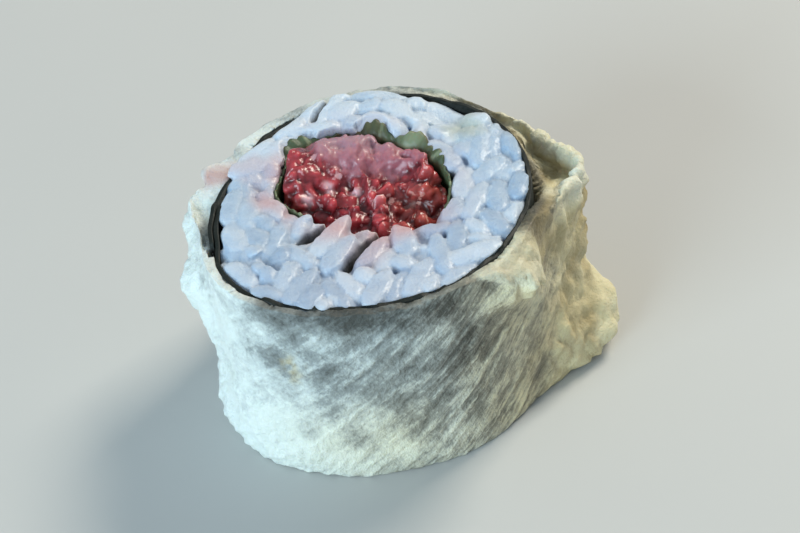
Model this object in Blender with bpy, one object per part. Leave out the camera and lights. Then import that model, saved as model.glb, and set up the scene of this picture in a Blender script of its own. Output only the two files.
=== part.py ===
"""One piece of a deep-fried sushi roll, standing on a cut face.

Metres, +Z up. The origin is on the ground under the middle of the piece. The roll is sliced
across, so every layer runs through from the lower cut to the upper one: chopped tuna with a
shiso leaf round its back, rice, a sheet of nori that laps over itself, and the batter it was
fried in, which is thin at the front and gathers into lobes, a frill and a foot at the sides.

Angles are in degrees round the roll's axis, from +X (the right side) towards +Y (the back).
"""

import math
import random

import bmesh
import bpy
from mathutils import Matrix, Vector, noise

MM = 0.001

# Driving dimensions of the roll
NORI_RADIUS = 16.0 * MM
SLICE_HEIGHT = 22.5 * MM
AXIS_X = -1.5 * MM
AXIS_Y = -1.3 * MM
GAP = 0.3 * MM

# How far the pressed roll is from a true circle: an oval, and (angle, width, outwards) of dents
OVAL = 0.55 * MM
OVAL_ANGLE = 38.0
NORI_DENTS = (
    (150.0, 18.0, -0.60 * MM),
    (212.0, 16.0, 0.55 * MM),
    (262.0, 24.0, -0.60 * MM),
)

# Nori sheet
NORI_THICK = 0.45 * MM
LAP_START = 170.0
LAP_ANGLE = 20.0
LAP_EASE = 12.0
LAP_GAP = 0.12 * MM
NORI_FOOT = 0.5 * MM
NORI_BEVEL = 0.1 * MM
NORI_RAGGED = 0.22 * MM
NORI_RAGGED_EVERY = 9.0

# Tuna: a heap of chopped flesh, higher behind than in front
TUNA_X = -0.2 * MM
TUNA_Y = 2.5 * MM
TUNA_RADIUS = 7.2 * MM
TUNA_OVAL = 1.2 * MM
TUNA_OVAL_ANGLE = 140.0
TUNA_DENTS = (
    (183.0, 16.0, 0.80 * MM),
    (272.0, 20.0, -1.00 * MM),
)
TUNA_TOP = 22.0 * MM
TUNA_RISE = 0.9 * MM
TUNA_TOP_ROUND = 0.7 * MM
TUNA_FOOT_ROUND = 0.8 * MM
TUNA_FOOT_LIFT = 0.25 * MM
TUNA_SIDE_LUMPS = 0.15 * MM
CHUNK_SIZE = 3.2 * MM
CHUNK_CREASE = 1.1 * MM
CHUNK_CREASE_WIDTH = 0.5
CHUNK_STEP = 0.9 * MM
CHUNK_MIX = 7.0

# Shiso leaf: from its right edge round the back of the tuna to its left edge
LEAF_FROM = -38.0
LEAF_TO = 208.0
LEAF_THICK = 0.3 * MM
LEAF_WAVE = 0.16 * MM
LEAF_WAVES = 7
LEAF_WAVE_LEAN = 2.2
LEAF_TOP = 22.3 * MM
LEAF_TEETH = 13
LEAF_TOOTH = 0.7 * MM
LEAF_ROOM_LEAD = 3.0
LEAF_ROOM_EASE = 12.0

# Rice: level in front, mounded up behind
RICE_LEVEL = 21.7 * MM
RICE_MOUND = 0.7 * MM
MOUND_FROM = 3.0 * MM
MOUND_TO = 11.0 * MM
RICE_FOOT = 0.4 * MM
RICE_BUMP = 0.25 * MM
GRAIN_LENGTH = 6.2 * MM
GRAIN_WIDTH = 2.6 * MM
GRAIN_SIZES = (0.86, 1.08)
GRAIN_BLUNT = 1.14
GRAIN_TILT = 13.0
GRAIN_STRAY = 75.0
GRAIN_STRAY_EDGE = 20.0
GRAIN_END = 0.72
GRAIN_END_REACH = 0.86
GRAIN_LIFT = 0.1 * MM
GRAIN_LIFT_RANGE = 0.45 * MM
FOOT_LEVEL = 0.9 * MM
TOP_GRAINS = 84
FOOT_GRAINS = 36
GRAIN_TRIES = 260
GRAIN_CROWDING = 0.43
RICE_SEED = 11

# Batter
BATTER_SKIN = 0.65 * MM
BATTER_LEAST = 0.35 * MM
BATTER_TOP = 22.0 * MM
CRAG_SIZE = 3.3 * MM
CRAG_DEPTH = 0.55
CRAG_LEAST = 0.35 * MM
CRAG_MOST = 1.6 * MM
CRAG_MIDDLE = 0.45
FOOT_ROUND = 1.0 * MM
FOOT_TUCK = 0.3 * MM
FOOT_SHARE = 0.4
RIM_WAVER = 0.25 * MM
RIM_WAVES = 9.0
VALLEY_TAPER = 0.25
VALLEY_SINK = 0.3

# Batter lumps: (angle, height, width in degrees, half height, how far it stands out)
BATTER_LUMPS = (
    (163.0, 19.0 * MM, 9.0, 3.0 * MM, 3.5 * MM),
    (179.0, 15.0 * MM, 9.0, 3.2 * MM, 3.2 * MM),
    (190.0, 10.8 * MM, 7.0, 2.2 * MM, 1.7 * MM),
    (222.0, 2.5 * MM, 32.0, 5.0 * MM, 1.1 * MM),
    (186.0, 2.5 * MM, 20.0, 4.0 * MM, 0.9 * MM),
    (320.0, 19.0 * MM, 11.0, 2.6 * MM, 2.6 * MM),
    (336.0, 8.0 * MM, 11.0, 7.0 * MM, 1.0 * MM),
    (10.0, 12.0 * MM, 22.0, 16.0 * MM, 4.5 * MM),
    (16.0, 21.5 * MM, 22.0, 3.0 * MM, 1.8 * MM),
    (353.0, 2.4 * MM, 14.0, 3.8 * MM, 4.7 * MM),
    (38.0, 5.0 * MM, 14.0, 5.0 * MM, 1.6 * MM),
    (64.0, 17.5 * MM, 11.0, 3.6 * MM, 2.0 * MM),
    (84.0, 6.5 * MM, 13.0, 4.0 * MM, 1.9 * MM),
    (104.0, 17.0 * MM, 10.0, 3.6 * MM, 1.7 * MM),
    (124.0, 8.0 * MM, 12.0, 4.4 * MM, 2.2 * MM),
    (146.0, 13.0 * MM, 9.0, 3.6 * MM, 1.9 * MM),
    (154.0, 2.0 * MM, 14.0, 3.6 * MM, 1.6 * MM),
)

# Dips in the batter's upper edge, between its rim and the nori: (angle, width, depth)
BATTER_VALLEYS = (
    (14.0, 20.0, 4.6 * MM),
    (172.0, 12.0, 1.5 * MM),
    (62.0, 12.0, 0.7 * MM),
)

# How far the batter's rim falls below or stands above BATTER_TOP: (angle, width, rise)
RIM_RISES = (
    (172.0, 20.0, -1.3 * MM),
    (14.0, 26.0, -0.7 * MM),
    (37.0, 12.0, -1.1 * MM),
    (320.0, 12.0, -0.9 * MM),
    (120.0, 16.0, 0.5 * MM),
)

# Fineness of the meshes
ROLL_SIDES = 116
WALL_ROWS = 14
RIM_ROWS = (0.1, 0.26, 0.48, 0.72, 1.0)
CORE_SIDES = 72
CORE_ROWS = (0.0, 0.25, 0.5, 0.75, 1.0)
CORE_FOOT_ROWS = (1.0, 0.5, 0.0)
TUNA_CELLS = 13
TUNA_CAP = 0.94
TUNA_ROWS = (0.07, 0.35, 0.65, 0.93)
LEAF_STEPS = 60
LEAF_ROWS = (0.03, 0.2, 0.4, 0.6, 0.8, 1.0)
SHARP_ANGLE = 45.0


def clear_scene():
    """Remove whatever the file opened with."""
    for thing in list(bpy.data.objects):
        bpy.data.objects.remove(thing, do_unlink=True)


def make_material(name, colour, roughness):
    """A plain surface in the part's own colour."""
    material = bpy.data.materials.new(name)
    material.use_nodes = True
    surface = material.node_tree.nodes["Principled BSDF"]
    surface.inputs["Base Color"].default_value = (*colour, 1.0)
    surface.inputs["Roughness"].default_value = roughness
    surface.inputs["Metallic"].default_value = 0.0
    return material


def bump_at(angle, centre, width):
    """1 at the centre angle, falling smoothly to 0 on both sides of it."""
    away = (angle - centre + 180.0) % 360.0 - 180.0
    return math.exp(-(away / width) ** 2)


def smooth_step(value):
    """0 below 0, 1 above 1, and a smooth ramp between."""
    value = min(1.0, max(0.0, value))
    return value * value * (3.0 - 2.0 * value)


def polar(radius, angle, z):
    """A point at a radius and an angle round the roll's axis."""
    turn = math.radians(angle)
    return Vector((radius * math.cos(turn), radius * math.sin(turn), z))


# ---------------------------------------------------------------- outlines across the roll

def nori_radius(angle):
    """Outer face of the nori."""
    radius = NORI_RADIUS + OVAL * math.cos(math.radians(2.0 * (angle - OVAL_ANGLE)))
    for centre, width, outwards in NORI_DENTS:
        radius += outwards * bump_at(angle, centre, width)
    return radius


def lap_tuck(angle, lead):
    """How far the inner end of the sheet is tucked in: 1 under the lap, 0 away from it.

    lead is the angle over which it starts; the sheet itself starts at once, with a lead of 0.
    """
    past = (angle - LAP_START + 180.0) % 360.0 - 180.0
    if past < 0.0:
        return smooth_step(1.0 + past / lead) if lead else 0.0
    return 1.0 - smooth_step((past - LAP_ANGLE) / LAP_EASE)


def rice_radius(angle):
    """Outer side of the rice, clear of the nori and of its tucked end."""
    tuck = lap_tuck(angle, LAP_EASE) * (NORI_THICK + LAP_GAP)
    return nori_radius(angle) - NORI_THICK - GAP - tuck


def tuna_radius(angle):
    """Side of the tuna, measured from the middle of the tuna."""
    radius = TUNA_RADIUS + TUNA_OVAL * math.cos(math.radians(2.0 * (angle - TUNA_OVAL_ANGLE)))
    for centre, width, outwards in TUNA_DENTS:
        radius += outwards * bump_at(angle, centre, width)
    return radius


def leaf_share(angle):
    """1 where the leaf runs round the tuna, 0 in front of the tuna."""
    middle = 0.5 * (LEAF_FROM + LEAF_TO)
    away = abs((angle - middle + 180.0) % 360.0 - 180.0)
    past = away - 0.5 * (LEAF_TO - LEAF_FROM) - LEAF_ROOM_LEAD
    return 1.0 - smooth_step(past / LEAF_ROOM_EASE)


def hollow_radius(angle):
    """Side of the hollow in the rice, measured from the middle of the tuna."""
    leaf_room = LEAF_THICK + 2.0 * LEAF_WAVE + GAP
    return tuna_radius(angle) + GAP + leaf_room * leaf_share(angle)


def tuna_polar(radius, angle, z):
    """A point at a radius and an angle round the middle of the tuna."""
    return polar(radius, angle, z) + Vector((TUNA_X, TUNA_Y, 0.0))


# ---------------------------------------------------------------- batter

def batter_rim(angle):
    """Height of the batter's outer rim."""
    rise = sum(up * bump_at(angle, centre, width) for centre, width, up in RIM_RISES)
    return BATTER_TOP + rise + RIM_WAVER * noise.noise(polar(RIM_WAVES, angle, 0.0))


def batter_radius(angle, z):
    """Outer face of the batter: a skin with lumps, in rounded crags where it is thick."""
    inner = nori_radius(angle) + GAP
    proud = BATTER_SKIN
    for centre, height, width, tall, out in BATTER_LUMPS:
        proud += out * bump_at(angle, centre, width) * math.exp(-((z - height) / tall) ** 2)
    place = polar(inner, angle, z)
    away, _ = noise.voronoi(place / CRAG_SIZE)
    rounded = CRAG_MIDDLE - away[0]
    proud += min(CRAG_MOST, CRAG_LEAST + CRAG_DEPTH * (proud - BATTER_SKIN)) * rounded
    lift = 1.0 - min(1.0, z / FOOT_ROUND)
    proud -= FOOT_TUCK * lift * lift
    return inner + max(BATTER_LEAST, proud)


def batter_profile(angle):
    """The batter's cross-section at an angle, as (radius, z) points round it."""
    inner = nori_radius(angle) + GAP
    rim = batter_rim(angle)
    valley = sum(deep * bump_at(angle, centre, width) for centre, width, deep in BATTER_VALLEYS)
    points = []
    for row in range(WALL_ROWS + 1):
        z = rim * row / WALL_ROWS
        points.append((batter_radius(angle, z), z))
    outer = points[-1][0]
    for share in RIM_ROWS:
        dip = valley * (1.0 - (2.0 * share - 1.0) ** 4) * (1.0 - VALLEY_TAPER * share)
        sink = VALLEY_SINK * valley * share
        points.append((outer + (inner - outer) * share, rim - dip - sink))
    points.append((inner, 0.5 * rim))
    points.append((inner, 0.0))
    foot = points[0][0]
    points.append((inner + FOOT_SHARE * (foot - inner), 0.0))
    return points


def face_outwards(shape):
    """Turn every face of a closed shape outwards."""
    bmesh.ops.recalc_face_normals(shape, faces=shape.faces)
    if shape.calc_volume(signed=True) < 0.0:
        bmesh.ops.reverse_faces(shape, faces=shape.faces)


def loft_ring(profiles):
    """Join closed cross-sections, one after another round the axis, into one closed skin."""
    shape = bmesh.new()
    rings = [[shape.verts.new(point) for point in profile] for profile in profiles]
    count = len(rings[0])
    for here, after in zip(rings, rings[1:] + rings[:1]):
        for step in range(count):
            ahead = (step + 1) % count
            shape.faces.new((here[step], after[step], after[ahead], here[ahead]))
    face_outwards(shape)
    return shape


def make_batter():
    """The fried batter: a ring of uneven thickness round the nori."""
    profiles = []
    for side in range(ROLL_SIDES):
        angle = 360.0 * side / ROLL_SIDES
        profiles.append([polar(radius, angle, z) for radius, z in batter_profile(angle)])
    return loft_ring(profiles)


# ---------------------------------------------------------------- nori

def make_nori():
    """The sheet of nori: once round the rice, with its end lapped over its start."""
    shape = bmesh.new()
    steps = ROLL_SIDES + round(ROLL_SIDES * LAP_ANGLE / 360.0)
    turn = 360.0 + LAP_ANGLE
    sections = []
    for step in range(steps + 1):
        travelled = turn * step / steps
        angle = LAP_START + travelled
        tuck = lap_tuck(angle, 0.0) if travelled < 180.0 else 0.0
        outer = nori_radius(angle) - tuck * (NORI_THICK + LAP_GAP)
        ragged = NORI_RAGGED * noise.noise(Vector((travelled / NORI_RAGGED_EVERY, 0.0, 4.0)))
        top = SLICE_HEIGHT + ragged
        corners = (
            polar(outer, angle, NORI_FOOT),
            polar(outer, angle, top - NORI_BEVEL),
            polar(outer - NORI_THICK, angle, top),
            polar(outer - NORI_THICK, angle, NORI_FOOT),
        )
        sections.append([shape.verts.new(corner) for corner in corners])
    for here, after in zip(sections, sections[1:]):
        for edge in range(4):
            ahead = (edge + 1) % 4
            shape.faces.new((here[edge], after[edge], after[ahead], here[ahead]))
    shape.faces.new(sections[0])
    shape.faces.new(sections[-1][::-1])
    face_outwards(shape)
    return shape


# ---------------------------------------------------------------- rice

def rice_mound(place):
    """How far the cut rice stands above its level over a place."""
    return RICE_MOUND * smooth_step((place.y - MOUND_FROM) / (MOUND_TO - MOUND_FROM))


def rice_level(place):
    """Height of the rice between its grains, over a place."""
    uneven = noise.noise(Vector((place.x, place.y, 0.0)) / (0.9 * GRAIN_WIDTH))
    return RICE_LEVEL + rice_mound(place) + RICE_BUMP * uneven


def make_rice_core():
    """The packed rice without its outermost grains: a thick ring from cut to cut."""
    profiles = []
    for side in range(CORE_SIDES):
        angle = 360.0 * side / CORE_SIDES
        outer = polar(rice_radius(angle), angle, 0.0)
        inner = tuna_polar(hollow_radius(angle), angle, 0.0)
        profile = []
        for share in CORE_ROWS:
            place = outer.lerp(inner, share)
            profile.append(place + Vector((0.0, 0.0, rice_level(place))))
        for share in CORE_FOOT_ROWS:
            place = outer.lerp(inner, share)
            profile.append(place + Vector((0.0, 0.0, RICE_FOOT)))
        profiles.append(profile)
    return loft_ring(profiles)


def fits_in_rice(place, reach):
    """Whether a ball at a place stays inside the rice's own ring."""
    angle = math.degrees(math.atan2(place.y, place.x))
    if math.hypot(place.x, place.y) + reach > rice_radius(angle):
        return False
    off_x = place.x - TUNA_X
    off_y = place.y - TUNA_Y
    angle = math.degrees(math.atan2(off_y, off_x))
    return math.hypot(off_x, off_y) - reach > hollow_radius(angle)


def lay_grains(dice, wanted, level, rise):
    """Places for grains over the rice: each with its long axis and its middle.

    Near the nori a grain lies along it, as the sheet presses it; further in it lies anyhow.
    rise is how far the layer stands above its level over a place.
    """
    laid = []
    half = 0.5 * GRAIN_LENGTH
    thick = 0.5 * GRAIN_WIDTH
    for _ in range(wanted * GRAIN_TRIES):
        if len(laid) == wanted:
            break
        angle = dice.uniform(0.0, 360.0)
        radius = rice_radius(angle) * math.sqrt(dice.uniform(0.1, 1.0))
        middle = polar(radius, angle, level + dice.uniform(-1.0, 1.0) * GRAIN_LIFT_RANGE)
        middle.z += rise(middle)
        near_edge = smooth_step((radius / rice_radius(angle) - 0.6) / 0.3)
        stray = GRAIN_STRAY + (GRAIN_STRAY_EDGE - GRAIN_STRAY) * near_edge
        heading = math.radians(angle + 90.0 + dice.gauss(0.0, stray))
        tilt = math.radians(dice.uniform(-GRAIN_TILT, GRAIN_TILT))
        long_axis = Vector((
            math.cos(heading) * math.cos(tilt),
            math.sin(heading) * math.cos(tilt),
            math.sin(tilt),
        ))
        size = dice.uniform(*GRAIN_SIZES)
        shares = (-GRAIN_END, 0.0, GRAIN_END)
        ends = [middle + long_axis * (half * size * share) for share in shares]
        if not all(fits_in_rice(end, GRAIN_END_REACH * thick * size) for end in ends):
            continue
        if any(too_close(ends, other) for _, _, _, other in laid):
            continue
        laid.append((middle, long_axis, size, ends))
    return laid


def too_close(ends, others):
    """Whether two grains, each as three balls, would lie inside each other."""
    least = GRAIN_CROWDING * GRAIN_WIDTH
    return any((one - other).length < least for one in ends for other in others)


def make_grain(middle, long_axis, size):
    """One grain of rice: a six-sided spindle with blunt ends."""
    turn = long_axis.to_track_quat("Z", "Y").to_matrix().to_4x4()
    stretch = Matrix.Diagonal((
        0.5 * GRAIN_WIDTH * size,
        0.5 * GRAIN_WIDTH * size,
        0.5 * GRAIN_LENGTH * size,
        1.0,
    ))
    place = Matrix.Translation(middle) @ turn @ stretch
    shape = bmesh.new()
    bmesh.ops.create_uvsphere(shape, u_segments=6, v_segments=4, radius=1.0)
    for corner in shape.verts:
        if 0.1 < abs(corner.co.z) < 0.9:
            corner.co.x *= GRAIN_BLUNT
            corner.co.y *= GRAIN_BLUNT
    bmesh.ops.transform(shape, matrix=place, verts=shape.verts)
    return shape


def grain_object(index, middle, long_axis, size, folder):
    """A loose grain, put in the collection that is fused to the rice."""
    shape = make_grain(middle, long_axis, size)
    mesh = bpy.data.meshes.new("grain_%03d" % index)
    shape.to_mesh(mesh)
    shape.free()
    grain = bpy.data.objects.new(mesh.name, mesh)
    folder.objects.link(grain)


def apply_boolean(target, operation, folder):
    """Join a collection's objects to the target, or cut them from it, and remove them."""
    change = target.modifiers.new("change", "BOOLEAN")
    change.operation = operation
    change.operand_type = "COLLECTION"
    change.collection = folder
    change.solver = "MANIFOLD"
    bpy.context.view_layer.update()
    evaluated = target.evaluated_get(bpy.context.evaluated_depsgraph_get())
    changed = bpy.data.meshes.new_from_object(evaluated)
    target.modifiers.remove(change)
    target.data = changed
    for thing in list(folder.objects):
        bpy.data.objects.remove(thing, do_unlink=True)


def ground_block(folder):
    """A block under the ground, to cut the rice flat where it stands."""
    size = 4.0 * NORI_RADIUS
    shape = bmesh.new()
    place = Matrix.Translation((0.0, 0.0, -0.5 * size))
    bmesh.ops.create_cube(shape, size=size, matrix=place)
    mesh = bpy.data.meshes.new("ground_block")
    shape.to_mesh(mesh)
    shape.free()
    folder.objects.link(bpy.data.objects.new(mesh.name, mesh))


def keep_largest_skin(mesh):
    """Keep a fused shape's outer skin: sealed hollows are filled and loose scraps dropped."""
    shape = bmesh.new()
    shape.from_mesh(mesh)
    waiting = set(shape.verts)
    skins = []
    while waiting:
        front = [waiting.pop()]
        skin = list(front)
        while front:
            corner = front.pop()
            for edge in corner.link_edges:
                other = edge.other_vert(corner)
                if other in waiting:
                    waiting.remove(other)
                    front.append(other)
                    skin.append(other)
        skins.append(skin)
    skins.sort(key=len)
    for skin in skins[:-1]:
        bmesh.ops.delete(shape, geom=skin, context="VERTS")
    shape.to_mesh(mesh)
    shape.free()


def make_rice(name, material):
    """The rice as one solid: its core with the grains that show at both cuts fused on."""
    core = add_object(name, make_rice_core(), material)
    folder = bpy.data.collections.new("grains")
    bpy.context.scene.collection.children.link(folder)
    dice = random.Random(RICE_SEED)
    upper = lay_grains(dice, TOP_GRAINS, RICE_LEVEL + GRAIN_LIFT, rice_mound)
    lower = lay_grains(dice, FOOT_GRAINS, FOOT_LEVEL, lambda place: 0.0)
    for index, (middle, long_axis, size, _) in enumerate(upper + lower):
        grain_object(index, middle, long_axis, size, folder)
    apply_boolean(core, "UNION", folder)
    ground_block(folder)
    apply_boolean(core, "DIFFERENCE", folder)
    bpy.data.collections.remove(folder)
    keep_largest_skin(core.data)
    return core


# ---------------------------------------------------------------- tuna

def tuna_relief(place):
    """Relief of chopped flesh: chunks at different heights with creases between them."""
    away, chunks = noise.voronoi(Vector((place.x, place.y, 0.0)) / CHUNK_SIZE)
    crease = 1.0 - smooth_step((away[1] - away[0]) / CHUNK_CREASE_WIDTH)
    return CHUNK_STEP * (noise.cell(chunks[0] * CHUNK_MIX) - 0.5) - CHUNK_CREASE * crease


def disc_place(across, along):
    """Where a point of a square, from -1 to 1 each way, falls on a disc: (share, angle)."""
    share = max(abs(across), abs(along))
    if share == 0.0:
        return 0.0, 0.0
    if abs(across) >= abs(along):
        return share, 45.0 * along / across + (0.0 if across > 0.0 else 180.0)
    return share, 90.0 - 45.0 * across / along + (0.0 if along > 0.0 else 180.0)


def add_cap(shape, zone):
    """The tuna's foot or top: a grid of faces bent to a disc, as rows of corners."""
    rows = []
    for row in range(TUNA_CELLS + 1):
        along = 2.0 * row / TUNA_CELLS - 1.0
        corners = []
        for column in range(TUNA_CELLS + 1):
            share, angle = disc_place(2.0 * column / TUNA_CELLS - 1.0, along)
            corners.append(shape.verts.new(tuna_point(TUNA_CAP * share, zone, angle)))
        rows.append(corners)
    for here, after in zip(rows, rows[1:]):
        for column in range(TUNA_CELLS):
            shape.faces.new((here[column], here[column + 1], after[column + 1], after[column]))
    return rows


def cap_border(rows):
    """The corners round the edge of a cap."""
    left = [row[0] for row in rows[1:-1]][::-1]
    right = [row[-1] for row in rows[1:-1]]
    return rows[0] + right + rows[-1][::-1] + left


def make_tuna():
    """The chopped tuna: a heaped top and a flatter underside, with a lumpy side."""
    shape = bmesh.new()
    rings = [cap_border(add_cap(shape, "foot"))]
    for level in TUNA_ROWS:
        ring = []
        for corner in rings[0]:
            angle = math.degrees(math.atan2(corner.co.y - TUNA_Y, corner.co.x - TUNA_X))
            ring.append(shape.verts.new(tuna_point(level, "side", angle)))
        rings.append(ring)
    rings.append(cap_border(add_cap(shape, "top")))
    count = len(rings[0])
    for here, after in zip(rings, rings[1:]):
        for side in range(count):
            ahead = (side + 1) % count
            shape.faces.new((here[side], here[ahead], after[ahead], after[side]))
    face_outwards(shape)
    return shape


def tuna_point(share, zone, angle):
    """A point of the tuna's skin, on its foot, its side or its top."""
    radius = tuna_radius(angle)
    if zone == "side":
        place = tuna_polar(radius, angle, share * TUNA_TOP)
        inwards = TUNA_SIDE_LUMPS * (1.0 + noise.noise(place / CHUNK_SIZE))
        return tuna_polar(radius - inwards, angle, place.z)
    place = tuna_polar(radius * share, angle, 0.0)
    edge = share ** 6
    if zone == "foot":
        lift = TUNA_FOOT_LIFT * (1.0 + noise.noise(place / CHUNK_SIZE))
        place.z = lift + TUNA_FOOT_ROUND * edge
        return place
    behind = smooth_step(0.5 + (place.y - TUNA_Y) / (0.9 * TUNA_RADIUS))
    place.z = TUNA_TOP + TUNA_RISE * (2.0 * behind - 1.0) - TUNA_TOP_ROUND * edge
    place.z += tuna_relief(place)
    return place


# ---------------------------------------------------------------- shiso leaf

def make_leaf():
    """The shiso leaf: a thin wavy band round the tuna, toothed along its upper edge."""
    shape = bmesh.new()
    faces = []
    for side in (0.0, 1.0):
        grid = []
        for step in range(LEAF_STEPS + 1):
            along = step / LEAF_STEPS
            angle = LEAF_FROM + (LEAF_TO - LEAF_FROM) * along
            tooth = abs((along * LEAF_TEETH) % 1.0 - 0.5) * 2.0
            top = LEAF_TOP - LEAF_TOOTH * tooth
            column = []
            for level in LEAF_ROWS:
                wave = math.sin(2.0 * math.pi * LEAF_WAVES * along + LEAF_WAVE_LEAN * level)
                radius = tuna_radius(angle) + GAP + LEAF_WAVE * (1.0 + wave)
                radius += side * LEAF_THICK
                column.append(shape.verts.new(tuna_polar(radius, angle, top * level)))
            grid.append(column)
        faces.append(grid)
    inner, outer = faces
    for grid, turn in ((inner, 1), (outer, -1)):
        for here, after in zip(grid, grid[1:]):
            for row in range(len(LEAF_ROWS) - 1):
                corners = (here[row], here[row + 1], after[row + 1], after[row])
                shape.faces.new((corners[0], corners[1], corners[2])[::turn])
                shape.faces.new((corners[0], corners[2], corners[3])[::turn])
    border_in = leaf_border(inner)
    border_out = leaf_border(outer)
    for place in range(len(border_in)):
        ahead = (place + 1) % len(border_in)
        shape.faces.new((border_in[place], border_in[ahead], border_out[ahead], border_out[place]))
    face_outwards(shape)
    return shape


def leaf_border(grid):
    """The points round the edge of one face of the leaf."""
    foot = [column[0] for column in grid]
    top = [column[-1] for column in grid][::-1]
    return foot + grid[-1][1:-1] + top + grid[0][1:-1][::-1]


# ---------------------------------------------------------------- assembly

def add_object(name, shape, material):
    """Put a shape in the scene as a named object, shaded smooth but for sharp creases."""
    mesh = bpy.data.meshes.new(name)
    shape.to_mesh(mesh)
    shape.free()
    mesh.materials.append(material)
    mesh.shade_smooth()
    mesh.set_sharp_from_angle(angle=math.radians(SHARP_ANGLE))
    thing = bpy.data.objects.new(name, mesh)
    bpy.context.scene.collection.objects.link(thing)
    return thing


def build_piece():
    """Make every layer and stand them round one axis."""
    clear_scene()
    axis = bpy.data.objects.new("roll_axis", None)
    bpy.context.scene.collection.objects.link(axis)
    layers = (
        add_object("batter", make_batter(), make_material("batter", (0.78, 0.76, 0.62), 0.55)),
        add_object("nori", make_nori(), make_material("nori", (0.03, 0.045, 0.035), 0.5)),
        make_rice("rice", make_material("rice", (0.72, 0.78, 0.8), 0.35)),
        add_object("tuna", make_tuna(), make_material("tuna", (0.3, 0.04, 0.05), 0.25)),
        add_object("shiso", make_leaf(), make_material("shiso", (0.09, 0.16, 0.06), 0.5)),
    )
    for layer in layers:
        layer.parent = axis
    axis.location = (AXIS_X, AXIS_Y, 0.0)
    bpy.context.view_layer.update()


build_piece()
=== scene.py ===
"""The look of one piece of deep-fried sushi roll, standing on its lower cut face.

Metres, +Z up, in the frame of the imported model. Each layer is made again over its plain solid:
the fried batter with its crags, the sheet of nori, grains of rice pressed together, chopped
tuna and the shiso leaf. A turn is in degrees round the roll's axis, from +X towards +Y (back).
The batter's heights, depths and lifts are in millimetres until they move a point.
"""

import math

import bmesh
import bpy
import numpy as np
from mathutils import Matrix, Vector, noise
from mathutils.bvhtree import BVHTree
from mathutils.kdtree import KDTree


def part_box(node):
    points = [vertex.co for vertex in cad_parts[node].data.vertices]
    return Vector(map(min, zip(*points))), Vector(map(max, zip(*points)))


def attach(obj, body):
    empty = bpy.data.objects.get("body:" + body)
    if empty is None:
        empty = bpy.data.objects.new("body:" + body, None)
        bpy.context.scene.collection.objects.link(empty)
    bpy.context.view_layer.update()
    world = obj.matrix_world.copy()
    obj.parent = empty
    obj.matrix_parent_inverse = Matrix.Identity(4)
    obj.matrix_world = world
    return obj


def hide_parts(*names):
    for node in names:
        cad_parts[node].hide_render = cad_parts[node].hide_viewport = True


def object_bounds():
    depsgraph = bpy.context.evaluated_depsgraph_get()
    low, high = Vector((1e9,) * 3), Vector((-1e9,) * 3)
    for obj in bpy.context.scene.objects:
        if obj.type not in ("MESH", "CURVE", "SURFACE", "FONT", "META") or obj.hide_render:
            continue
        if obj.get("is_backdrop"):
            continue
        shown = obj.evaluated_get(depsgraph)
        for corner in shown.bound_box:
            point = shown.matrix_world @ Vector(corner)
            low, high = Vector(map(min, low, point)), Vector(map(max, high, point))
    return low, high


MM = 0.001
TINY = 1e-9
OUTLINE_STEPS = 720
# Takes the height out of points
FROM_ABOVE = (1.0, 1.0, 0.0)

# Camera, as in the photograph
VIEW_ELEVATION = 43.0
VIEW_ROLL = 9.0
VIEW_DISTANCE = 262.0 * MM
VIEW_LENS = 116.0
VIEW_ASIDE = 0.4 * MM
VIEW_HEIGHT = 11.5 * MM

# Batter
CRUST_LUMP = 2.2 * MM
CRUST_GRIT = 1.0 * MM
CRUST_SPECK = 0.4 * MM
FILM_LEAST = 0.2 * MM
NORI_GAP = 0.03 * MM
RIM_RISE = 0.4 * MM
RIM_RAGGED = 0.3 * MM
RIM_BESIDE = 0.7 * MM
DRIP_LEAN = math.radians(3.8)
DRIP_SQUASH = 0.25
DRIP_RADIUS = 16.0 * MM
FRILL_TURN = 14.0
FRILL_WIDTH = 26.0
FRILL_LOWER = 0.8 * MM
FRILL_FLOOR = 1.3 * MM
LUMP_TURNS = (290.0, 300.0, 307.0, 316.0, 327.0, 337.0)
LUMP_FEET = (24.5, 22.5, 21.2, 19.5, 17.2, 16.3)
# Patches of the wall: amount, turn and width, height and half height
LOBES = ((1.6, 152.0, 9.0, 20.5, 3.2), (0.9, 134.0, 11.0, 21.5, 4.0))
SIDE_BENDS = (
    (1.1, 358.5, 6.5, 5.3, 1.7),
    (-0.5, 5.0, 8.0, 9.0, 1.5),
    (-1.1, 13.0, 6.0, 4.0, 3.5),
)
MILKY_PATCHES = (
    (0.25, 252.0, 16.0, 18.0, 2.0),
    (0.28, 322.0, 7.0, 12.5, 3.0),
    (0.15, 312.0, 6.0, 11.0, 2.5),
    (-0.12, 272.0, 9.0, 12.5, 2.2),
    (-0.30, 233.0, 6.0, 20.3, 1.5),
    (-0.20, 254.0, 10.0, 4.5, 2.2),
)
# How milky the batter is round the wall: amount, turn and width
MILKY_SIDES = (
    (0.85, 200.0, 30.0),
    (0.12, 300.0, 40.0),
    (0.45, 8.0, 32.0),
    (0.45, 100.0, 70.0),
)
# Milkier towards the foot: amount, turn and width, the height where it starts and is full
MILKY_FEET = (
    (0.75, 236.0, 30.0, 15.0, 3.0),
    (0.62, 270.0, 28.0, 9.0, 2.0),
    (0.30, 306.0, 24.0, 6.0, 0.5),
)

# Nori
NORI_RAGGED = 0.28
NORI_RIPPLE = 0.09 * MM

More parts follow.
